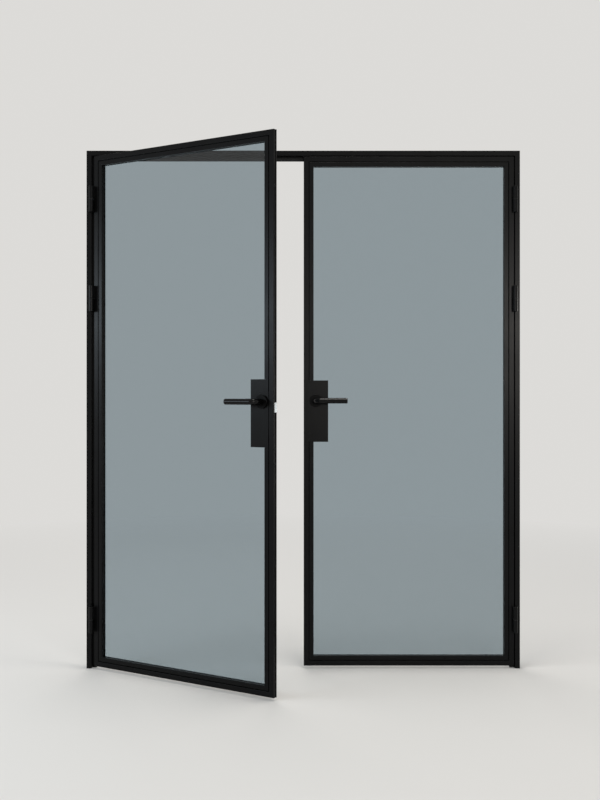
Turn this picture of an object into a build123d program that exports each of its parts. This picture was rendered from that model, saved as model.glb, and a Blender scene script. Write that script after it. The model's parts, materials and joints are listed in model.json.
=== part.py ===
"""Glazed steel French doors hung in a three-sided steel frame.

The doors stand on the floor at z = 0 and are centred on x = 0. The front faces of
the frame and of the closed leaves lie at y = 0, and depth runs back along +Y. The
left leaf stands open towards the front, and the right leaf is closed.
"""
import os

from build123d import *

os.makedirs("parts", exist_ok=True)

# Leaves and the gaps round them
LEAF_WIDTH = 853.0
LEAF_HEIGHT = 2065.0
MEETING_GAP = 4.0
EDGE_GAP = 4.0
FLOOR_GAP = 11.0
REST_OPENING = 30.0

# Leaf section: a hollow tube at the edge, and a web and lip behind the glass
TUBE_WIDTH = 20.0
TUBE_DEPTH = 16.0
TUBE_WALL = 2.0
WEB = 3.0
SIGHT_WIDTH = 40.0
LIP_THICKNESS = 4.0
CORNER_RADIUS = 1.0

# Glazing
GLASS_THICKNESS = 6.4
GLASS_EDGE_GAP = 4.0
FRONT_TAPE = 1.5
REAR_TAPE = 1.1
TAPE_WIDTH = 6.0
TAPE_SETBACK = 1.0
BEAD_GROOVE = 3.0
BEAD_DEPTH = 12.0
BEAD_WALL = 1.5
BEAD_FOOT = 3.0
BLOCK_LENGTH = 80.0
BLOCK_INSET = 120.0

# Frame section: a hollow tube with a stop lip behind the leaves
FRAME_FACE = 20.0
FRAME_WALL = 2.0
STOP_REACH = 19.0
STOP_THICKNESS = 4.0
FIXING_RADIUS = 4.0
FIXING_DEPTH = 10.0
FIXING_END = 150.0
FIXING_COUNT = 4
HEAD_FIXING_PITCH = 880.0

# Seals
SEAL_WIDTH = 10.0
SEAL_BASE = 1.5
SEAL_BULB = 1.9
SEAL_CLEARANCE = 0.3
EDGE_SEAL_WIDTH = 2.0
EDGE_SEAL_REACH = 3.0

# Lift-off hinges, with their axis in front of the faces
HINGE_RADIUS = 9.5
HINGE_LENGTH = 105.0
HINGE_STANDOFF = 16.0
HINGE_FROM_BOTTOM = 190.0
HINGE_FROM_TOP = 175.0
HINGE_PAIR_PITCH = 402.0
HINGE_FOOT_SETBACK = 0.5
HINGE_CHAMFER = 1.0
HINGE_CAP = 6.0
PIN_RADIUS = 5.0
PIN_CLEARANCE = 0.05
WASHER_THICKNESS = 1.2
HINGE_PLAY = 0.2

# Lock covers
LEVER_HEIGHT = 1086.0
BACKSET = 50.0
COVER_REACH = 99.0
COVER_ABOVE = 82.0
COVER_BELOW = 167.0
COVER_WALL = 2.0
COVER_GAP = 0.5

# Lock case, inside the meeting stile and between the covers
CASE_REACH = 86.0
CASE_ABOVE = 39.0
CASE_BELOW = 126.0
CASE_WALL = 1.2
CASE_CLEARANCE = 0.2
FACEPLATE_WIDTH = 11.0
FACEPLATE_OVERLAP = 18.0
CASE_GLASS_GAP = 3.0
NOTCH_RADIUS = 8.0

# Levers and roses
LEVER_RADIUS = 11.0
LEVER_REACH = 125.0
LEVER_STANDOFF = 56.0
LEVER_BEND = 15.0
LEVER_TIP_CHAMFER = 1.2
ROSE_RADIUS = 25.0
ROSE_HEIGHT = 8.0
ROSE_WALL = 2.5
ROSE_CHAMFER = 0.8
NECK_CLEARANCE = 0.3
SPINDLE = 8.0
SPINDLE_CLEARANCE = 0.05
SPINDLE_DEPTH = 28.0
ROSE_BOLT_PITCH = 34.0
ROSE_BOLT_RADIUS = 2.0
ROSE_BOLT_HEAD = 3.5
ROSE_BOLT_HEAD_HEIGHT = 2.2

# Follower, latch and shoot bolts
HUB_RADIUS = 11.0
BOSS_RADIUS = 8.0
ARM_WIDTH = 3.0
ROLLER_RADIUS = 2.2
WORKING_PLAY = 0.3
LATCH_THROW = 11.0
LATCH_HEIGHT = 36.0
LATCH_BELOW_LEVER = 21.0
LATCH_LENGTH = 14.0
LATCH_SWEEP = 45.0
LATCH_ARM = 15.0
LATCH_BAR = 4.0
BOLT_RADIUS = 4.0
BOLT_BACKSET = 12.0
BOLT_CLEARANCE = 0.3
BOLT_SETBACK = 0.5
BOLT_SWEEP = 60.0
BOLT_ARM = 17.0
YOKE_THICKNESS = 6.0
KEEP_LENGTH = 44.0
KEEP_WIDTH = 12.0
KEEP_THICKNESS = 1.5
KEEP_SCREW_PITCH = 30.0
KEEP_SCREW_RADIUS = 1.75

# Depths from the front face, from the bead back to the rear face of the lip
GLASS_FRONT = BEAD_DEPTH + FRONT_TAPE
GLASS_BACK = GLASS_FRONT + GLASS_THICKNESS
LIP_FRONT = GLASS_BACK + REAR_TAPE
DEPTH = LIP_FRONT + LIP_THICKNESS
STOP_FRONT = DEPTH - STOP_THICKNESS

# Edges of the right leaf and of the frame; the left leaf is its mirror image
LEAF_INNER = MEETING_GAP / 2
LEAF_OUTER = LEAF_INNER + LEAF_WIDTH
LEAF_BOTTOM = FLOOR_GAP
LEAF_TOP = FLOOR_GAP + LEAF_HEIGHT
LEAF_EDGES = (LEAF_INNER, LEAF_OUTER, LEAF_BOTTOM, LEAF_TOP)
FRAME_OUTER = LEAF_OUTER + EDGE_GAP + FRAME_FACE
FRAME_TOP = LEAF_TOP + EDGE_GAP + FRAME_FACE
FRAME_EDGES = (-FRAME_OUTER, FRAME_OUTER, 0.0, FRAME_TOP)
FRAME_REACH = FRAME_FACE + STOP_REACH
FIXING_PITCH = (FRAME_TOP - 2 * FIXING_END) / (FIXING_COUNT - 1)

# Hinge line of the right leaf
HINGE_X = LEAF_OUTER + EDGE_GAP / 2
HINGE_Y = -HINGE_STANDOFF
HINGE_TOP = LEAF_TOP - HINGE_FROM_TOP
HINGE_HEIGHTS = (LEAF_BOTTOM + HINGE_FROM_BOTTOM, HINGE_TOP - HINGE_PAIR_PITCH, HINGE_TOP)

# Lock places in the right leaf
SPINDLE_X = LEAF_INNER + BACKSET
COVER_OUTER = LEAF_INNER + COVER_REACH
COVER_BOTTOM = LEVER_HEIGHT - COVER_BELOW
COVER_TOP = LEVER_HEIGHT + COVER_ABOVE
CASE_OUTER = LEAF_INNER + CASE_REACH
CASE_BOTTOM = LEVER_HEIGHT - CASE_BELOW
CASE_TOP = LEVER_HEIGHT + CASE_ABOVE
TUBE_MIDDLE = TUBE_DEPTH / 2
CASE_HALF = TUBE_MIDDLE - TUBE_WALL - CASE_CLEARANCE
WORKS_HALF = CASE_HALF - CASE_WALL
LATCH_MIDDLE = LEVER_HEIGHT - LATCH_BELOW_LEVER
LATCH_BOTTOM = LATCH_MIDDLE - LATCH_HEIGHT / 2
LATCH_TOP = LATCH_MIDDLE + LATCH_HEIGHT / 2
BOLT_X = LEAF_INNER + BOLT_BACKSET

LEFT_HINGE_LINE = Axis((-HINGE_X, HINGE_Y, 0), (0, 0, 1))


def seat(part, side, swings):
    """Puts a piece drawn on the right-hand side where its own side has it at rest."""
    if side == "right":
        return part
    mirrored = part.mirror(Plane.YZ)
    return mirrored.rotate(LEFT_HINGE_LINE, -REST_OPENING) if swings else mirrored


def save(part, name):
    """Labels a finished piece and writes its file."""
    part.label = name
    export_step(part, f"parts/{name}.step")


def block(x_span, y_span, z_span, mode=Mode.ADD):
    """A box between two values on each axis, in the part being built."""
    spans = (x_span, y_span, z_span)
    with Locations([tuple((low + high) / 2 for low, high in spans)]):
        Box(*(high - low for low, high in spans), mode=mode)


def bar_plane(side, edges):
    """Section plane of one side of a rectangle: local x inwards, local y back."""
    x_low, x_high, z_low, z_high = edges
    x_mid, z_mid = (x_low + x_high) / 2, (z_low + z_high) / 2
    origin, inward = {
        "left": ((x_low, 0, z_mid), (1, 0, 0)),
        "right": ((x_high, 0, z_mid), (-1, 0, 0)),
        "bottom": ((x_mid, 0, z_low), (0, 0, 1)),
        "top": ((x_mid, 0, z_high), (0, 0, -1)),
    }[side]
    return Plane(origin, x_dir=inward, z_dir=Vector(inward).cross(Vector(0, 1, 0)))


def mitred_bar(section, side, edges, reach, square_foot=False):
    """One side of a mitred rectangle, with its outer face on the given edges."""
    x_low, x_high, z_low, z_high = edges
    x_in_low, x_in_high, z_in_high = x_low + reach, x_high - reach, z_high - reach
    z_in_low = z_low if square_foot else z_low + reach
    corners = {
        "left": ((x_low, z_low), (x_low, z_high), (x_in_low, z_in_high), (x_in_low, z_in_low)),
        "right": ((x_high, z_low), (x_high, z_high), (x_in_high, z_in_high), (x_in_high, z_in_low)),
        "bottom": ((x_low, z_low), (x_high, z_low), (x_in_high, z_in_low), (x_in_low, z_in_low)),
        "top": ((x_low, z_high), (x_high, z_high), (x_in_high, z_in_high), (x_in_low, z_in_high)),
    }[side]
    with BuildPart() as bar:
        with BuildSketch(bar_plane(side, edges)):
            add(section)
        extrude(amount=max(x_high - x_low, z_high - z_low), both=True)
        with BuildSketch(Plane.XZ):
            with BuildLine():
                Polyline(*corners, close=True)
            make_face()
        extrude(amount=2 * DEPTH, both=True, mode=Mode.INTERSECT)
    return bar.part


# Sections, drawn with x inwards from the outer edge and y back from the front face
with BuildSketch() as leaf_section:
    with BuildLine():
        Polyline(
            (0, 0), (TUBE_WIDTH, 0), (TUBE_WIDTH, LIP_FRONT), (SIGHT_WIDTH, LIP_FRONT),
            (SIGHT_WIDTH, DEPTH), (TUBE_WIDTH - WEB, DEPTH), (TUBE_WIDTH - WEB, TUBE_DEPTH),
            (0, TUBE_DEPTH), close=True,
        )
    make_face()
    fillet(leaf_section.vertices().group_by(Axis.Y)[0], CORNER_RADIUS)
    with Locations((TUBE_WIDTH / 2, TUBE_MIDDLE)):
        Rectangle(TUBE_WIDTH - 2 * TUBE_WALL, TUBE_DEPTH - 2 * TUBE_WALL, mode=Mode.SUBTRACT)

with BuildSketch() as frame_section:
    with BuildLine():
        Polyline(
            (0, 0), (FRAME_FACE, 0), (FRAME_FACE, STOP_FRONT), (FRAME_REACH, STOP_FRONT),
            (FRAME_REACH, DEPTH), (0, DEPTH), close=True,
        )
    make_face()
    fillet(frame_section.vertices().group_by(Axis.Y)[0], CORNER_RADIUS)
    with Locations((FRAME_FACE / 2, DEPTH / 2)):
        Rectangle(FRAME_FACE - 2 * FRAME_WALL, DEPTH - 2 * FRAME_WALL, mode=Mode.SUBTRACT)

BEAD_START = TUBE_WIDTH + BEAD_GROOVE
with BuildSketch() as bead_section:
    with BuildLine():
        Polyline(
            (BEAD_START, 0), (SIGHT_WIDTH, 0), (SIGHT_WIDTH, BEAD_DEPTH),
            (SIGHT_WIDTH - BEAD_WALL, BEAD_DEPTH), (SIGHT_WIDTH - BEAD_WALL, BEAD_WALL),
            (BEAD_START + BEAD_WALL, BEAD_WALL), (BEAD_START + BEAD_WALL, BEAD_DEPTH),
            (TUBE_WIDTH, BEAD_DEPTH),
            (TUBE_WIDTH, BEAD_DEPTH - BEAD_FOOT), (BEAD_START, BEAD_DEPTH - BEAD_FOOT), close=True,
        )
    make_face()
    fillet(bead_section.vertices().group_by(Axis.Y)[0], CORNER_RADIUS)

SEAL_START = FRAME_REACH - SEAL_WIDTH - EDGE_GAP / 2
BULB_DEPTH = TUBE_DEPTH + SEAL_CLEARANCE + SEAL_BULB
with BuildSketch() as seal_section:
    with Locations((SEAL_START + SEAL_WIDTH / 2, STOP_FRONT - SEAL_BASE / 2)):
        Rectangle(SEAL_WIDTH, SEAL_BASE)
    with Locations((SEAL_START + SEAL_WIDTH / 2, BULB_DEPTH)):
        Circle(SEAL_BULB)
    with Locations((SEAL_START + SEAL_WIDTH / 2, (BULB_DEPTH + STOP_FRONT) / 2)):
        Rectangle(SEAL_BULB, STOP_FRONT - BULB_DEPTH)

# Frame: two jambs and a head, with holes for the wall fixings
for side in ("left", "right"):
    with BuildPart() as jamb:
        add(mitred_bar(frame_section.sketch, side, FRAME_EDGES, FRAME_REACH, square_foot=True))
        outer = -FRAME_OUTER if side == "left" else FRAME_OUTER
        inward = 1 if side == "left" else -1
        drill_plane = Plane((outer, FIXING_DEPTH, FIXING_END), x_dir=(0, 0, 1), z_dir=(inward, 0, 0))
        with BuildSketch(drill_plane):
            with Locations([(row * FIXING_PITCH, 0) for row in range(FIXING_COUNT)]):
                Circle(FIXING_RADIUS)
        extrude(amount=FRAME_FACE, mode=Mode.SUBTRACT)
    save(jamb.part, f"{side}_jamb")
    jamb_seal = mitred_bar(seal_section.sketch, side, FRAME_EDGES, FRAME_REACH, square_foot=True)
    save(jamb_seal, f"{side}_jamb_seal")

KEEP_PLANE = Plane((BOLT_X, TUBE_MIDDLE, FRAME_TOP - FRAME_FACE))
KEEP_SCREWS = [(-KEEP_SCREW_PITCH / 2, 0), (KEEP_SCREW_PITCH / 2, 0)]
with BuildPart() as head:
    add(mitred_bar(frame_section.sketch, "top", FRAME_EDGES, FRAME_REACH))
    with BuildSketch(Plane.XY.offset(FRAME_TOP)):
        with Locations((-HEAD_FIXING_PITCH / 2, FIXING_DEPTH), (HEAD_FIXING_PITCH / 2, FIXING_DEPTH)):
            Circle(FIXING_RADIUS)
    extrude(amount=-FRAME_FACE, mode=Mode.SUBTRACT)
    with BuildSketch(KEEP_PLANE):
        Circle(BOLT_RADIUS + BOLT_CLEARANCE)
        with Locations(KEEP_SCREWS):
            Circle(KEEP_SCREW_RADIUS)
    extrude(amount=FRAME_WALL, mode=Mode.SUBTRACT)
save(head.part, "head")
save(mitred_bar(seal_section.sketch, "top", FRAME_EDGES, FRAME_REACH), "head_seal")

# Keep plate under the head for the top shoot bolt, and its two screws
with BuildPart() as head_keep:
    with BuildSketch(KEEP_PLANE):
        SlotOverall(KEEP_LENGTH, KEEP_WIDTH)
        Circle(BOLT_RADIUS + BOLT_CLEARANCE, mode=Mode.SUBTRACT)
        with Locations(KEEP_SCREWS):
            Circle(KEEP_SCREW_RADIUS, mode=Mode.SUBTRACT)
    extrude(amount=-KEEP_THICKNESS)
save(head_keep.part, "head_keep")

with BuildPart() as head_keep_screws:
    with BuildSketch(KEEP_PLANE.offset(-KEEP_THICKNESS)):
        with Locations(KEEP_SCREWS):
            Circle(KEEP_SCREW_RADIUS)
    extrude(amount=KEEP_THICKNESS + FRAME_WALL)
save(head_keep_screws.part, "head_keep_screws")


# Hinges
def hinge_half(z_low, z_high, inward, bore_radius, bore_low, bore_high):
    """A barrel and its foot, which stands on the face on one side of the gap."""
    face_edge = HINGE_X + inward * (EDGE_GAP / 2 + HINGE_FOOT_SETBACK)
    side_edge = HINGE_X + inward * HINGE_RADIUS
    with BuildPart() as half:
        with Locations((HINGE_X, HINGE_Y, (z_low + z_high) / 2)):
            Cylinder(HINGE_RADIUS, z_high - z_low)
        chamfer(half.edges().filter_by(GeomType.CIRCLE), HINGE_CHAMFER)
        with BuildSketch(Plane.XY.offset(z_low + HINGE_CHAMFER)):
            with BuildLine():
                Polyline(
                    (face_edge, 0), (side_edge, 0), (side_edge, HINGE_Y), (HINGE_X, HINGE_Y),
                    (face_edge, HINGE_Y / 2), close=True,
                )
            make_face()
        extrude(amount=z_high - z_low - 2 * HINGE_CHAMFER)
        with Locations((HINGE_X, HINGE_Y, (bore_low + bore_high) / 2)):
            Cylinder(bore_radius, bore_high - bore_low, mode=Mode.SUBTRACT)
    return half.part


def together(pieces):
    """Gathers like pieces into one part of separate solids."""
    with BuildPart() as group:
        for piece in pieces:
            add(piece)
    return group.part


frame_halves, leaf_halves, pins, washers = [], [], [], []
for height in HINGE_HEIGHTS:
    low, high = height - HINGE_LENGTH / 2, height + HINGE_LENGTH / 2
    seat_height = height - WASHER_THICKNESS / 2
    hung_height = height + WASHER_THICKNESS / 2 + HINGE_PLAY
    frame_halves.append(hinge_half(low, seat_height, 1, PIN_RADIUS, low + HINGE_CAP, seat_height))
    leaf_bore = PIN_RADIUS + PIN_CLEARANCE
    leaf_halves.append(hinge_half(hung_height, high, -1, leaf_bore, hung_height, high - HINGE_CAP))
    with BuildPart() as pin:
        with Locations((HINGE_X, HINGE_Y, height)):
            Cylinder(PIN_RADIUS, HINGE_LENGTH - 2 * HINGE_CAP - 2 * HINGE_CHAMFER)
        chamfer(pin.edges().group_by(Axis.Z)[-1], HINGE_CHAMFER)
    pins.append(pin.part)
    with BuildPart() as washer:
        with BuildSketch(Plane.XY.offset(seat_height)):
            with Locations((HINGE_X, HINGE_Y)):
                Circle(HINGE_RADIUS)
                Circle(leaf_bore, mode=Mode.SUBTRACT)
        extrude(amount=WASHER_THICKNESS)
    washers.append(washer.part)

for side in ("left", "right"):
    save(seat(together(frame_halves), side, False), f"{side}_frame_hinge_halves")
    save(seat(together(leaf_halves), side, True), f"{side}_leaf_hinge_halves")
both_sides = [seat(piece, side, False) for side in ("left", "right") for piece in pins]
save(together(both_sides), "hinge_pins")
both_sides = [seat(piece, side, False) for side in ("left", "right") for piece in washers]
save(together(both_sides), "hinge_washers")


# Leaf bars, beads and glazing, drawn as the right leaf
def lock_plane(depth, outward=-1):
    """Plane across the lever's axis, facing the front or the rear."""
    return Plane((SPINDLE_X, depth, LEVER_HEIGHT), x_dir=(1, 0, 0), z_dir=(0, outward, 0))


def bolt_places(angle):
    """Places of the two bolts through the roses, at an angle round the lever's axis."""
    return PolarLocations(ROSE_BOLT_PITCH / 2, 2, start_angle=angle)


def meeting_stile(bolt_angle):
    """The stile at the free edge, with pockets for the lock case and holes for its bolts."""
    with BuildPart() as stile:
        add(mitred_bar(leaf_section.sketch, "left", LEAF_EDGES, SIGHT_WIDTH))
        block(
            (LEAF_INNER - TUBE_WALL, LEAF_INNER + TUBE_WALL),
            (TUBE_MIDDLE - FACEPLATE_WIDTH / 2, TUBE_MIDDLE + FACEPLATE_WIDTH / 2),
            (CASE_BOTTOM - FACEPLATE_OVERLAP, CASE_TOP + FACEPLATE_OVERLAP),
            mode=Mode.SUBTRACT,
        )
        block(
            (LEAF_INNER + TUBE_WALL, LEAF_INNER + TUBE_WIDTH),
            (TUBE_WALL, TUBE_DEPTH - TUBE_WALL),
            (CASE_BOTTOM - CASE_CLEARANCE, CASE_TOP + CASE_CLEARANCE),
            mode=Mode.SUBTRACT,
        )
        with BuildSketch(lock_plane(DEPTH)):
            with bolt_places(bolt_angle):
                Circle(ROSE_BOLT_RADIUS)
        extrude(amount=LIP_THICKNESS, mode=Mode.SUBTRACT)
    return stile.part


def rail(side, has_bolt):
    """Top or bottom rail, drilled where a shoot bolt comes out."""
    with BuildPart() as bar:
        add(mitred_bar(leaf_section.sketch, side, LEAF_EDGES, SIGHT_WIDTH))
        if has_bolt:
            level = LEAF_TOP if side == "top" else LEAF_BOTTOM
            with Locations((BOLT_X, TUBE_MIDDLE, level)):
                Cylinder(BOLT_RADIUS + BOLT_CLEARANCE, 2 * TUBE_WALL, mode=Mode.SUBTRACT)
    return bar.part


def meeting_beads():
    """The two lengths of bead above and below the lock covers."""
    with BuildPart() as beads:
        add(mitred_bar(bead_section.sketch, "left", LEAF_EDGES, SIGHT_WIDTH))
        block(
            (LEAF_INNER, LEAF_INNER + SIGHT_WIDTH),
            (0, BEAD_DEPTH),
            (COVER_BOTTOM - COVER_GAP, COVER_TOP + COVER_GAP),
            mode=Mode.SUBTRACT,
        )
    return beads.part


def rectangle_between(x_span, z_span, mode=Mode.ADD):
    """A rectangle between two values each way, in the sketch being drawn."""
    with Locations(((x_span[0] + x_span[1]) / 2, (z_span[0] + z_span[1]) / 2)):
        return Rectangle(x_span[1] - x_span[0], z_span[1] - z_span[0], mode=mode)


def glass():
    """The pane, which sits on the setting blocks and is notched round the lock case."""
    edge = TUBE_WIDTH + GLASS_EDGE_GAP
    with BuildPart() as pane:
        with BuildSketch(Plane.XZ.offset(-GLASS_FRONT)) as outline:
            rectangle_between(
                (LEAF_INNER + edge, LEAF_OUTER - edge),
                (LEAF_BOTTOM + edge, LEAF_TOP - edge),
            )
            rectangle_between(
                (LEAF_INNER, CASE_OUTER + CASE_GLASS_GAP),
                (CASE_BOTTOM - CASE_GLASS_GAP, CASE_TOP + CASE_GLASS_GAP),
                mode=Mode.SUBTRACT,
            )
            notch_corners = outline.vertices().filter_by_position(
                Axis.Y, CASE_BOTTOM - NOTCH_RADIUS, CASE_TOP + NOTCH_RADIUS
            )
            fillet(notch_corners.group_by(Axis.X)[-1], NOTCH_RADIUS)
        extrude(amount=-GLASS_THICKNESS)
    return pane.part


def sight_outline():
    """The clear glass that shows: inside the beads, and outside the lock cover."""
    with BuildSketch() as sight:
        rectangle_between(
            (LEAF_INNER + SIGHT_WIDTH, LEAF_OUTER - SIGHT_WIDTH),
            (LEAF_BOTTOM + SIGHT_WIDTH, LEAF_TOP - SIGHT_WIDTH),
        )
        rectangle_between((LEAF_INNER, COVER_OUTER), (COVER_BOTTOM, COVER_TOP), mode=Mode.SUBTRACT)
    return sight.sketch


def glazing_tapes():
    """Tapes in front of and behind the pane, just outside the sight line."""
    with BuildPart() as tapes:
        for depth, thickness in ((BEAD_DEPTH, FRONT_TAPE), (GLASS_BACK, REAR_TAPE)):
            with BuildSketch(Plane.XZ.offset(-depth)):
                offset(sight_outline(), amount=TAPE_SETBACK + TAPE_WIDTH, kind=Kind.INTERSECTION)
                offset(sight_outline(), amount=TAPE_SETBACK, kind=Kind.INTERSECTION, mode=Mode.SUBTRACT)
            extrude(amount=-thickness)
    return tapes.part


def setting_blocks():
    """The two blocks that carry the pane's weight on the bottom rail."""
    with BuildPart() as blocks:
        for x_start in (LEAF_INNER + BLOCK_INSET, LEAF_OUTER - BLOCK_INSET - BLOCK_LENGTH):
            bed = LEAF_BOTTOM + TUBE_WIDTH
            block((x_start, x_start + BLOCK_LENGTH), (GLASS_FRONT, GLASS_BACK), (bed, bed + GLASS_EDGE_GAP))
    return blocks.part


# Lock covers and case
def folded_cover(plate_start, sides_start, plate_span, sides_span, bolt_angle):
    """A plate over the lock, with three sides turned in to the glass."""
    inner_heights = (COVER_BOTTOM + COVER_WALL, COVER_TOP - COVER_WALL)
    with BuildPart() as cover:
        block((plate_start, COVER_OUTER), plate_span, (COVER_BOTTOM, COVER_TOP))
        block((sides_start, COVER_OUTER), sides_span, (COVER_BOTTOM, COVER_TOP))
        block((sides_start, COVER_OUTER - COVER_WALL), sides_span, inner_heights, mode=Mode.SUBTRACT)
        with BuildSketch(lock_plane(DEPTH)):
            Circle(LEVER_RADIUS)
            with bolt_places(bolt_angle):
                Circle(ROSE_BOLT_RADIUS)
        extrude(amount=2 * DEPTH, both=True, mode=Mode.SUBTRACT)
    return cover.part


def lock_case(has_bolts, bolt_angle):
    """The case and faceplate, hollow for the works, with a running hole for the follower."""
    with BuildPart() as case:
        block(
            (LEAF_INNER, LEAF_INNER + TUBE_WALL),
            (TUBE_MIDDLE - FACEPLATE_WIDTH / 2, TUBE_MIDDLE + FACEPLATE_WIDTH / 2),
            (CASE_BOTTOM - FACEPLATE_OVERLAP, CASE_TOP + FACEPLATE_OVERLAP),
        )
        block(
            (LEAF_INNER + TUBE_WALL, CASE_OUTER),
            (TUBE_MIDDLE - CASE_HALF, TUBE_MIDDLE + CASE_HALF),
            (CASE_BOTTOM, CASE_TOP),
        )
        block(
            (LEAF_INNER + TUBE_WALL, CASE_OUTER - CASE_WALL),
            (TUBE_MIDDLE - WORKS_HALF, TUBE_MIDDLE + WORKS_HALF),
            (CASE_BOTTOM + CASE_WALL, CASE_TOP - CASE_WALL),
            mode=Mode.SUBTRACT,
        )
        block(
            (LEAF_INNER, LEAF_INNER + TUBE_WALL),
            (TUBE_MIDDLE - WORKS_HALF, TUBE_MIDDLE + WORKS_HALF),
            (LATCH_BOTTOM - WORKING_PLAY, LATCH_TOP + WORKING_PLAY),
            mode=Mode.SUBTRACT,
        )
        with BuildSketch(lock_plane(TUBE_MIDDLE)):
            Circle(BOSS_RADIUS + PIN_CLEARANCE)
            with bolt_places(bolt_angle):
                Circle(ROSE_BOLT_RADIUS)
        extrude(amount=TUBE_DEPTH, both=True, mode=Mode.SUBTRACT)
        if has_bolts:
            with Locations((BOLT_X, TUBE_MIDDLE, (CASE_BOTTOM + CASE_TOP) / 2)):
                Cylinder(BOLT_RADIUS + BOLT_CLEARANCE, CASE_TOP - CASE_BOTTOM, mode=Mode.SUBTRACT)
    return case.part


# Levers, roses and spindle
def rose(face, outward):
    """A round cup that stands on a cover, open round the lever's neck."""
    base = lock_plane(face, outward)
    with BuildPart() as cup:
        with BuildSketch(base):
            Circle(ROSE_RADIUS)
        extrude(amount=ROSE_HEIGHT)
        chamfer(cup.faces().sort_by(Axis.Y)[-1 if outward > 0 else 0].edges(), ROSE_CHAMFER)
        with BuildSketch(base):
            Circle(ROSE_RADIUS - ROSE_WALL)
        extrude(amount=ROSE_HEIGHT - ROSE_WALL, mode=Mode.SUBTRACT)
        with BuildSketch(base):
            Circle(LEVER_RADIUS + NECK_CLEARANCE)
        extrude(amount=ROSE_HEIGHT, mode=Mode.SUBTRACT)
    return cup.part


def rose_bolts(front_face, rear_face, angle):
    """Two bolts through the lock, with a head in one rose and a sleeve nut in the other."""
    with BuildPart() as bolts:
        with BuildSketch(lock_plane(rear_face)):
            with bolt_places(angle):
                Circle(ROSE_BOLT_RADIUS)
        extrude(amount=rear_face - front_face)
        for face, outward in ((front_face, -1), (rear_face, 1)):
            with BuildSketch(lock_plane(face, outward)):
                with bolt_places(angle):
                    Circle(ROSE_BOLT_HEAD)
            extrude(amount=ROSE_BOLT_HEAD_HEIGHT)
    return bolts.part


def lever(face, outward):
    """A round bar: a neck out of the rose, a bend, and a grip towards the hinges."""
    start = face + outward * WORKING_PLAY
    grip = face + outward * LEVER_STANDOFF
    with BuildPart() as bar:
        with BuildLine(Plane.XY.offset(LEVER_HEIGHT)):
            FilletPolyline(
                (SPINDLE_X, start), (SPINDLE_X, grip), (SPINDLE_X + LEVER_REACH, grip), radius=LEVER_BEND
            )
        with BuildSketch(lock_plane(start, outward)):
            Circle(LEVER_RADIUS)
        sweep()
        chamfer(bar.faces().sort_by(Axis.X)[-1].edges(), LEVER_TIP_CHAMFER)
        with BuildSketch(lock_plane(start, outward)):
            Rectangle(SPINDLE + 2 * SPINDLE_CLEARANCE, SPINDLE + 2 * SPINDLE_CLEARANCE)
        extrude(amount=SPINDLE_DEPTH, mode=Mode.SUBTRACT)
    return bar.part


def spindle(front_face, rear_face):
    """The square bar that joins the two levers through the follower."""
    reach = SPINDLE_DEPTH - WORKING_PLAY
    with BuildPart() as square:
        block(
            (SPINDLE_X - SPINDLE / 2, SPINDLE_X + SPINDLE / 2),
            (front_face - reach, rear_face + reach),
            (LEVER_HEIGHT - SPINDLE / 2, LEVER_HEIGHT + SPINDLE / 2),
        )
    return square.part


# Works inside the lock cases
def arm_tip(radius, angle):
    """Centre of an arm's roller, from the lever's axis; angles run from +x towards +z."""
    tip = Vector(radius, 0).rotate(Axis.Z, angle)
    return tip.X, tip.Y


def follower(radius, angles):
    """A hub with one or two arms, each with a round nose that pushes the works."""
    half = WORKS_HALF - WORKING_PLAY
    centre = lock_plane(TUBE_MIDDLE)
    with BuildPart() as hub:
        with BuildSketch(centre):
            Circle(HUB_RADIUS)
            for angle in angles:
                tip = arm_tip(radius, angle)
                with BuildLine():
                    Line((0, 0), tip)
                trace(line_width=ARM_WIDTH)
                with Locations(tip):
                    Circle(ROLLER_RADIUS)
        extrude(amount=half, both=True)
        with BuildSketch(centre):
            Circle(BOSS_RADIUS)
        extrude(amount=CASE_HALF, both=True)
        with BuildSketch(centre):
            Rectangle(SPINDLE + 2 * SPINDLE_CLEARANCE, SPINDLE + 2 * SPINDLE_CLEARANCE)
        extrude(amount=CASE_HALF, both=True, mode=Mode.SUBTRACT)
    return hub.part


def latch():
    """A bevelled bolt, and a tail that hooks over the follower's arm."""
    half = WORKS_HALF - WORKING_PLAY
    roller_x, roller_z = arm_tip(LATCH_ARM, 90 + LATCH_SWEEP / 2)
    hook_x = SPINDLE_X + roller_x + ROLLER_RADIUS + WORKING_PLAY
    hook_bottom = LEVER_HEIGHT + roller_z - ARM_WIDTH / 2
    bar_bottom = LEVER_HEIGHT + LATCH_ARM + ROLLER_RADIUS + LATCH_BAR / 2
    bar_top = bar_bottom + LATCH_BAR
    heel = LEAF_INNER + LATCH_LENGTH
    with BuildPart() as bolt:
        with BuildSketch(Plane.XZ.offset(-TUBE_MIDDLE)):
            rectangle_between((LEAF_INNER - LATCH_THROW, heel), (LATCH_BOTTOM, LATCH_TOP))
            rectangle_between((heel - LATCH_BAR, heel), (LATCH_TOP, bar_top))
            rectangle_between((heel, hook_x + LATCH_BAR), (bar_bottom, bar_top))
            rectangle_between((hook_x, hook_x + LATCH_BAR), (hook_bottom, bar_bottom))
        extrude(amount=half, both=True)
        nose = LEAF_INNER - LATCH_THROW
        with BuildSketch(Plane.XY.offset(LATCH_BOTTOM)):
            with BuildLine():
                Polyline(
                    (nose, TUBE_MIDDLE - half / 2), (nose, TUBE_MIDDLE + half),
                    (LEAF_INNER - WORKING_PLAY, TUBE_MIDDLE + half), close=True,
                )
            make_face()
        extrude(amount=LATCH_HEIGHT, mode=Mode.SUBTRACT)
    return bolt.part


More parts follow.
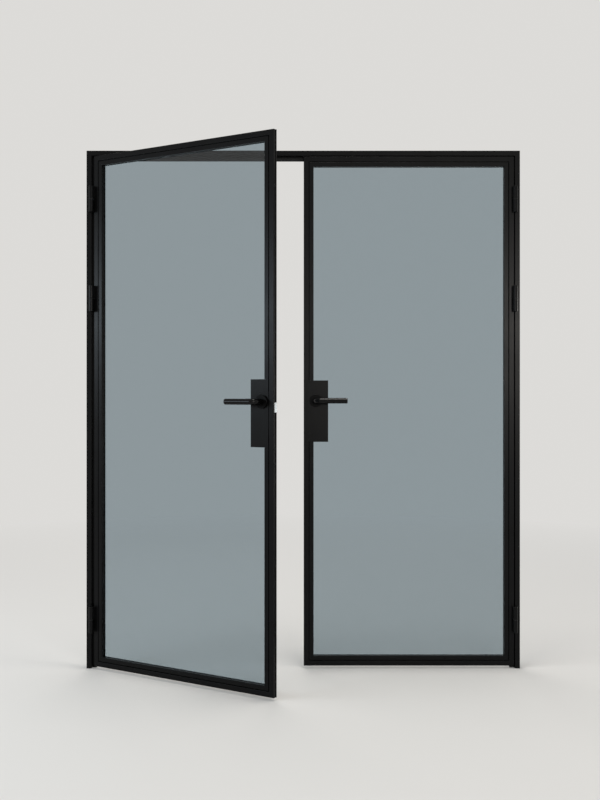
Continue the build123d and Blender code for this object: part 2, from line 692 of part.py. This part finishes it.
def top_shoot_bolt():
    """A rod up the stile, with a yoke that the rising arm lifts."""
    roller_x, roller_z = arm_tip(BOLT_ARM, 180 + BOLT_SWEEP / 2)
    yoke_bottom = LEVER_HEIGHT + roller_z + ROLLER_RADIUS + WORKING_PLAY
    yoke_end = SPINDLE_X + roller_x + ROLLER_RADIUS / 2
    return shoot_bolt(yoke_bottom, LEAF_TOP - BOLT_SETBACK, yoke_bottom, yoke_end)


def bottom_shoot_bolt():
    """A rod down the stile, with a yoke under the hub that the falling arm presses."""
    roller_x, roller_z = arm_tip(BOLT_ARM, BOLT_SWEEP / 2)
    leg_top = LEVER_HEIGHT + roller_z - ROLLER_RADIUS - WORKING_PLAY
    bar_top = LEVER_HEIGHT - ROSE_BOLT_PITCH / 2 - ROSE_BOLT_RADIUS - WORKING_PLAY
    bar_bottom = bar_top - YOKE_THICKNESS
    leg_start = SPINDLE_X + roller_x - ROLLER_RADIUS / 2
    leg_end = SPINDLE_X + BOLT_ARM + ROLLER_RADIUS + WORKING_PLAY
    with BuildPart() as bolt:
        add(shoot_bolt(LEAF_BOTTOM + BOLT_SETBACK, bar_top, bar_bottom, leg_end))
        block(
            (leg_start, leg_end),
            (TUBE_MIDDLE - BOLT_RADIUS, TUBE_MIDDLE + BOLT_RADIUS),
            (bar_bottom, leg_top),
        )
    return bolt.part


def shoot_bolt(z_low, z_high, yoke_bottom, yoke_end):
    """A round rod with a flat bar across to the follower."""
    with BuildPart() as rod:
        with BuildSketch(Plane.XY.offset(z_low)):
            with Locations((BOLT_X, TUBE_MIDDLE)):
                Circle(BOLT_RADIUS)
        extrude(amount=z_high - z_low)
        block(
            (BOLT_X - BOLT_RADIUS, yoke_end),
            (TUBE_MIDDLE - BOLT_RADIUS, TUBE_MIDDLE + BOLT_RADIUS),
            (yoke_bottom, yoke_bottom + YOKE_THICKNESS),
        )
    return rod.part


# Seal on the left leaf's free edge, behind the latch
with BuildPart() as meeting_seal:
    block(
        (LEAF_INNER - EDGE_SEAL_REACH, LEAF_INNER),
        (TUBE_DEPTH - EDGE_SEAL_WIDTH, TUBE_DEPTH),
        (LEAF_BOTTOM, LEAF_TOP),
    )
save(seat(meeting_seal.part, "left", True), "left_meeting_seal")

REAR_FACE = DEPTH + COVER_WALL
LEAVES = {
    "left": {"cover_start": LEAF_INNER + BEAD_START, "front_face": 0.0, "shoots": False, "angle": 0},
    "right": {"cover_start": LEAF_INNER, "front_face": -COVER_WALL, "shoots": True, "angle": 90},
}
for side, leaf in LEAVES.items():
    front_face = leaf["front_face"]
    pieces = {
        "hinge_stile": mitred_bar(leaf_section.sketch, "right", LEAF_EDGES, SIGHT_WIDTH),
        "meeting_stile": meeting_stile(leaf["angle"]),
        "top_rail": rail("top", leaf["shoots"]),
        "bottom_rail": rail("bottom", leaf["shoots"]),
        "hinge_bead": mitred_bar(bead_section.sketch, "right", LEAF_EDGES, SIGHT_WIDTH),
        "top_bead": mitred_bar(bead_section.sketch, "top", LEAF_EDGES, SIGHT_WIDTH),
        "bottom_bead": mitred_bar(bead_section.sketch, "bottom", LEAF_EDGES, SIGHT_WIDTH),
        "meeting_beads": meeting_beads(),
        "glass": glass(),
        "glazing_tapes": glazing_tapes(),
        "setting_blocks": setting_blocks(),
        "lock_front_cover": folded_cover(
            leaf["cover_start"],
            LEAF_INNER + BEAD_START,
            (front_face, front_face + COVER_WALL),
            (front_face + COVER_WALL, BEAD_DEPTH),
            leaf["angle"],
        ),
        "lock_rear_cover": folded_cover(
            LEAF_INNER + TUBE_WIDTH - WEB,
            LEAF_INNER + SIGHT_WIDTH,
            (DEPTH, REAR_FACE),
            (LIP_FRONT, DEPTH),
            leaf["angle"],
        ),
        "lock_case": lock_case(leaf["shoots"], leaf["angle"]),
        "front_rose": rose(front_face, -1),
        "rear_rose": rose(REAR_FACE, 1),
        "rose_bolts": rose_bolts(front_face, REAR_FACE, leaf["angle"]),
        "front_lever": lever(front_face, -1),
        "rear_lever": lever(REAR_FACE, 1),
        "spindle": spindle(front_face, REAR_FACE),
    }
    if leaf["shoots"]:
        pieces["follower"] = follower(BOLT_ARM, (180 + BOLT_SWEEP / 2, BOLT_SWEEP / 2))
        pieces["top_shoot_bolt"] = top_shoot_bolt()
        pieces["bottom_shoot_bolt"] = bottom_shoot_bolt()
    else:
        pieces["follower"] = follower(LATCH_ARM, (90 + LATCH_SWEEP / 2,))
        pieces["latch"] = latch()
    for piece_name, piece in pieces.items():
        save(seat(piece, side, True), f"{side}_{piece_name}")
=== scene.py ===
"""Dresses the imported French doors: powder-coated steel, tinted laminated glass, studio light."""
import json
import math

import bpy
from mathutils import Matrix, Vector

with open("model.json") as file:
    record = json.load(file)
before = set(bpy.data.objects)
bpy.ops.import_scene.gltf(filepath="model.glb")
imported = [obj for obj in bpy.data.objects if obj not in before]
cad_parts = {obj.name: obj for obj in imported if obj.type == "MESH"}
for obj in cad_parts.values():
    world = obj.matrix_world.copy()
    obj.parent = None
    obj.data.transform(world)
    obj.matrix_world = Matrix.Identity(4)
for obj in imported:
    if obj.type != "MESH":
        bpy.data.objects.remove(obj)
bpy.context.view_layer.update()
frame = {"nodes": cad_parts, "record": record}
NODES = frame["nodes"]

# Camera, matched to the photograph: place in metres, lens and sensor in mm, vertical shift.
# It is level and looks straight ahead along y
CAMERA_PLACE = (-0.0131, -4.034, 1.124)
CAMERA_TURN = (math.radians(90.0), 0.0, 0.0)
CAMERA_LENS = 44.76
CAMERA_SENSOR = 36.0
CAMERA_SHIFT = -0.0109

# Grain sizes of the finishes, in metres
POWDER_GRAIN = 0.0009
POWDER_CLOUD = 0.12
BRUSH_GRAIN = 0.0004
RUBBER_GRAIN = 0.002
GLASS_WAVE = 0.35
FLOOR_CLOUD = 0.8

# The brush lines run upright: their noise is drawn out along z
BRUSH_STRETCH = (1.0, 1.0, 0.04)

# Colours
BLACK_PAINT = (0.0032, 0.0033, 0.0035)
LEVER_PAINT = (0.0015, 0.0015, 0.0016)
BRIGHT_STEEL = (0.62, 0.62, 0.60)
GLASS_TINT = (0.34, 0.41, 0.45)
RUBBER_BLACK = (0.008, 0.008, 0.008)
BLOCK_BLACK = (0.012, 0.012, 0.013)
FLOOR_COLOUR = (0.74, 0.73, 0.71)
BACKGROUND = (0.72, 0.71, 0.69)
SKY = (0.98, 0.99, 1.0)
WARM = (1.0, 0.96, 0.90)
COOL = (0.78, 0.90, 1.0)

# How far each colour drifts: its other end, as a multiple of the colour
POWDER_LIGHTER = 1.4
BRUSH_DARKER = 0.85
RUBBER_LIGHTER = 1.5
FLOOR_DARKER = 0.98

# How each paint shines: its roughness and its specular level
STEEL_SHINE = (0.29, 0.09)
LEVER_SHINE = (0.08, 0.16)
ROSE_SHINE = (0.40, 0.06)

# Roughness of the other finishes, and how far the roughness drifts around its value
RUBBER_ROUGHNESS = 0.75
BLOCK_ROUGHNESS = 0.55
FLOOR_ROUGHNESS = 0.7
BRUSH_ROUGHNESS = (0.44, 0.56)
GLASS_ROUGHNESS = (0.0, 0.012)
POWDER_DRIFT = (-0.03, 0.04)
RUBBER_DRIFT = (-0.05, 0.05)

# Specular level of rubber and floor, and the refraction of glass
RUBBER_SPECULAR = 0.3
FLOOR_SPECULAR = 0.1
GLASS_IOR = 1.5

# Relief of each finish: its depth in metres and its strength
POWDER_RELIEF = (0.00002, 0.5)
BRUSH_RELIEF = (0.00001, 0.6)
GLASS_RELIEF = (0.0004, 0.2)
RUBBER_RELIEF = (0.00005, 0.4)

# The sky as a lamp
SKY_STRENGTH = 0.58

# The soft lamps: place, target, width and height in metres, watts and colour. Those in front and
# at the side stay lower than the doors, so that no top edge mirrors them
LAMPS = {
    "top_lamp": ((0.3, -0.4, 4.6), (0.1, 0.0, 1.0), (0.8, 0.8), 55.0, WARM),
    "right_lamp": ((1.7, -5.6, 1.7), (0.0, 0.0, 1.2), (2.4, 0.7), 90.0, WARM),
    "left_lamp": ((-3.8, -1.7, 1.7), (-0.2, 0.0, 1.2), (2.4, 0.7), 48.0, COOL),
    "side_lamp": ((3.6, 1.7, 1.2), (-0.1, -0.4, 1.1), (1.4, 1.4), 40.0, WARM),
    "rear_lamp": ((-1.0, 4.0, 4.0), (0.0, 0.0, 1.0), (3.0, 3.0), 50.0, WARM),
}
# The side lamp is only for the leaves' free edges and lights no floor
EDGE_LAMP = "side_lamp"

# The floor's side in metres, and the distances from the doors between which it turns into the
# background
FLOOR_SIZE = 80.0
FADE = (0.8, 5.0)

# Where the values of a noise mostly lie
NOISE_REACH = (0.3, 0.7)


def new_material(name):
    """A new material with its node tree and its shader."""
    material = bpy.data.materials.new(name)
    material.use_nodes = True
    tree = material.node_tree
    return material, tree, tree.nodes["Principled BSDF"]


def noise(tree, size, detail=2.0, stretch=(1.0, 1.0, 1.0)):
    """Noise of one grain size in metres, fixed to the piece."""
    coords = tree.nodes.new("ShaderNodeTexCoord")
    mapping = tree.nodes.new("ShaderNodeMapping")
    mapping.inputs["Scale"].default_value = stretch
    texture = tree.nodes.new("ShaderNodeTexNoise")
    texture.inputs["Scale"].default_value = 1.0 / size
    texture.inputs["Detail"].default_value = detail
    tree.links.new(coords.outputs["Object"], mapping.inputs["Vector"])
    tree.links.new(mapping.outputs["Vector"], texture.inputs["Vector"])
    return texture.outputs["Fac"]


def ramp(tree, value, low, high, reach=NOISE_REACH):
    """Maps a value that lies in its reach to a new range."""
    node = tree.nodes.new("ShaderNodeMapRange")
    node.inputs["From Min"].default_value, node.inputs["From Max"].default_value = reach
    node.inputs["To Min"].default_value = low
    node.inputs["To Max"].default_value = high
    tree.links.new(value, node.inputs["Value"])
    return node.outputs["Result"]


def vary_colour(tree, shader, value, first, second):
    """Lets the colour drift between two with a 0 to 1 value."""
    node = tree.nodes.new("ShaderNodeMix")
    node.data_type = "RGBA"
    node.inputs["A"].default_value = (*first, 1.0)
    node.inputs["B"].default_value = (*second, 1.0)
    tree.links.new(value, node.inputs["Factor"])
    tree.links.new(node.outputs["Result"], shader.inputs["Base Color"])


def vary_roughness(tree, shader, value, low, high):
    """Lets the roughness drift between two values with a noise."""
    tree.links.new(ramp(tree, value, low, high), shader.inputs["Roughness"])


def bump(tree, shader, height, relief):
    """Raises the surface by a height texture."""
    node = tree.nodes.new("ShaderNodeBump")
    node.inputs["Distance"].default_value, node.inputs["Strength"].default_value = relief
    tree.links.new(height, node.inputs["Height"])
    tree.links.new(node.outputs["Normal"], shader.inputs["Normal"])


def combine(tree, operation, first, second):
    """One value worked out from two."""
    node = tree.nodes.new("ShaderNodeMath")
    node.operation = operation
    tree.links.new(first, node.inputs[0])
    tree.links.new(second, node.inputs[1])
    return node.outputs["Value"]


def seen(tree):
    """1 where a thing is looked at, also through glass or mirrored, and 0 where it only lights."""
    rays = tree.nodes.new("ShaderNodeLightPath")
    direct = combine(
        tree, "MAXIMUM", rays.outputs["Is Camera Ray"], rays.outputs["Is Transmission Ray"]
    )
    return combine(tree, "MAXIMUM", direct, rays.outputs["Is Glossy Ray"])


def scaled(colour, factor):
    """A colour made lighter or darker."""
    return tuple(channel * factor for channel in colour)


def powder_coat(name, colour, shine):
    """Satin black paint with a fine orange-peel grain and faint cloudiness."""
    roughness, specular = shine
    below, above = POWDER_DRIFT
    material, tree, shader = new_material(name)
    cloud = noise(tree, POWDER_CLOUD, detail=4.0)
    vary_colour(tree, shader, cloud, colour, scaled(colour, POWDER_LIGHTER))
    vary_roughness(tree, shader, cloud, roughness + below, roughness + above)
    shader.inputs["Specular IOR Level"].default_value = specular
    bump(tree, shader, noise(tree, POWDER_GRAIN), POWDER_RELIEF)
    return material


def brushed_steel(name, colour):
    """Bright steel with fine upright brush lines."""
    material, tree, shader = new_material(name)
    lines = noise(tree, BRUSH_GRAIN, detail=3.0, stretch=BRUSH_STRETCH)
    vary_colour(tree, shader, lines, scaled(colour, BRUSH_DARKER), colour)
    vary_roughness(tree, shader, lines, *BRUSH_ROUGHNESS)
    shader.inputs["Metallic"].default_value = 1.0
    bump(tree, shader, lines, BRUSH_RELIEF)
    return material


def clear_glass(name, tint):
    """Laminated glass with a cool grey tint and the very faint waviness of float glass."""
    material, tree, shader = new_material(name)
    shader.inputs["Base Color"].default_value = (*tint, 1.0)
    shader.inputs["IOR"].default_value = GLASS_IOR
    shader.inputs["Transmission Weight"].default_value = 1.0
    wave = noise(tree, GLASS_WAVE, detail=1.0)
    vary_roughness(tree, shader, wave, *GLASS_ROUGHNESS)
    bump(tree, shader, wave, GLASS_RELIEF)
    return material


def soft_black(name, colour, roughness):
    """Matt rubber or nylon with a slight unevenness."""
    below, above = RUBBER_DRIFT
    material, tree, shader = new_material(name)
    grain = noise(tree, RUBBER_GRAIN, detail=3.0)
    vary_colour(tree, shader, grain, colour, scaled(colour, RUBBER_LIGHTER))
    vary_roughness(tree, shader, grain, roughness + below, roughness + above)
    shader.inputs["Specular IOR Level"].default_value = RUBBER_SPECULAR
    bump(tree, shader, grain, RUBBER_RELIEF)
    return material


def dress(node, material):
    """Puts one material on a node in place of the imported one."""
    node.data.materials.clear()
    node.data.materials.append(material)


def dress_doors():
    """Gives each piece the finish of its material slot, and levers and roses their own."""
    finishes = {
        "black_steel": powder_coat("black_powder_coat", BLACK_PAINT, STEEL_SHINE),
        "bright_steel": brushed_steel("bright_steel", BRIGHT_STEEL),
        "glass": clear_glass("clear_glass", GLASS_TINT),
        "rubber": soft_black("black_rubber", RUBBER_BLACK, RUBBER_ROUGHNESS),
        "block_plastic": soft_black("block_plastic", BLOCK_BLACK, BLOCK_ROUGHNESS),
    }
    lock_finishes = {
        "_lever": powder_coat("black_lever_paint", LEVER_PAINT, LEVER_SHINE),
        "_rose": powder_coat("black_rose_paint", LEVER_PAINT, ROSE_SHINE),
    }
    for piece in frame["record"]["subparts"]:
        finish = finishes[piece["material_slot"]]
        for ending, lock_finish in lock_finishes.items():
            if piece["node"].endswith(ending):
                finish = lock_finish
        dress(NODES[piece["node"]], finish)


def make_floor():
    """A wide plain floor, which turns into the background far from the doors."""
    bpy.ops.mesh.primitive_plane_add(size=FLOOR_SIZE)
    floor = bpy.context.object
    floor.name = "studio_floor"
    material, tree, shader = new_material("pale_floor")
    cloud = noise(tree, FLOOR_CLOUD, detail=3.0)
    vary_colour(tree, shader, cloud, scaled(FLOOR_COLOUR, FLOOR_DARKER), FLOOR_COLOUR)
    shader.inputs["Roughness"].default_value = FLOOR_ROUGHNESS
    shader.inputs["Specular IOR Level"].default_value = FLOOR_SPECULAR
    coords = tree.nodes.new("ShaderNodeTexCoord")
    distance = tree.nodes.new("ShaderNodeVectorMath")
    distance.operation = "LENGTH"
    tree.links.new(coords.outputs["Object"], distance.inputs[0])
    far = tree.nodes.new("ShaderNodeEmission")
    far.inputs["Color"].default_value = (*BACKGROUND, 1.0)
    mix = tree.nodes.new("ShaderNodeMixShader")
    fade = ramp(tree, distance.outputs["Value"], 0.0, 1.0, FADE)
    tree.links.new(combine(tree, "MULTIPLY", fade, seen(tree)), mix.inputs["Fac"])
    tree.links.new(shader.outputs["BSDF"], mix.inputs[1])
    tree.links.new(far.outputs["Emission"], mix.inputs[2])
    tree.links.new(mix.outputs["Shader"], tree.nodes["Material Output"].inputs["Surface"])
    floor.data.materials.append(material)
    return floor


def make_world():
    """An even sky: the background's colour where it is seen, and a soft lamp elsewhere."""
    world = bpy.data.worlds.new("studio_world")
    bpy.context.scene.world = world
    world.use_nodes = True
    tree = world.node_tree
    tree.nodes.clear()
    shown = tree.nodes.new("ShaderNodeBackground")
    shown.inputs["Color"].default_value = (*BACKGROUND, 1.0)
    lamp = tree.nodes.new("ShaderNodeBackground")
    lamp.inputs["Color"].default_value = (*SKY, 1.0)
    lamp.inputs["Strength"].default_value = SKY_STRENGTH
    mix = tree.nodes.new("ShaderNodeMixShader")
    output = tree.nodes.new("ShaderNodeOutputWorld")
    tree.links.new(seen(tree), mix.inputs["Fac"])
    tree.links.new(lamp.outputs["Background"], mix.inputs[1])
    tree.links.new(shown.outputs["Background"], mix.inputs[2])
    tree.links.new(mix.outputs["Shader"], output.inputs["Surface"])


def left_unlit(name, objects):
    """A group of objects that a lamp passes over."""
    group = bpy.data.collections.new(name)
    for item in objects:
        group.objects.link(item)
    for entry in group.collection_objects:
        entry.light_linking.link_state = "EXCLUDE"
    return group


def make_lamp(name, unlit, place, target, size, power, colour):
    """A soft lamp aimed at a point, which shows only as light and as highlights."""
    data = bpy.data.lights.new(name, "AREA")
    data.shape = "RECTANGLE"
    data.size, data.size_y = size
    data.energy = power
    data.color = colour
    lamp = bpy.data.objects.new(name, data)
    lamp.location = place
    aim = Vector(target) - Vector(place)
    lamp.rotation_euler = aim.to_track_quat("-Z", "Y").to_euler()
    lamp.visible_camera = False
    lamp.visible_transmission = False
    lamp.light_linking.receiver_collection = unlit
    bpy.context.scene.collection.objects.link(lamp)


def make_lamps(floor):
    """Makes the lamps. The panes let them through to the floor and mirror none of them."""
    panes = (NODES["left_glass"], NODES["right_glass"])
    for pane in panes:
        pane.visible_shadow = False
    unlit_panes = left_unlit("unlit_panes", panes)
    unlit_panes_and_floor = left_unlit("unlit_panes_and_floor", (*panes, floor))
    for name, values in LAMPS.items():
        make_lamp(name, unlit_panes_and_floor if name == EDGE_LAMP else unlit_panes, *values)


def make_camera():
    """The camera at the photograph's viewing angle."""
    data = bpy.data.cameras.new("camera")
    data.lens = CAMERA_LENS
    data.sensor_width = CAMERA_SENSOR
    data.shift_y = CAMERA_SHIFT
    camera = bpy.data.objects.new("camera", data)
    camera.location = CAMERA_PLACE
    camera.rotation_euler = CAMERA_TURN
    bpy.context.scene.collection.objects.link(camera)
    bpy.context.scene.camera = camera


dress_doors()
FLOOR = make_floor()
make_world()
make_lamps(FLOOR)
make_camera()
bpy.context.scene.view_settings.view_transform = "Standard"
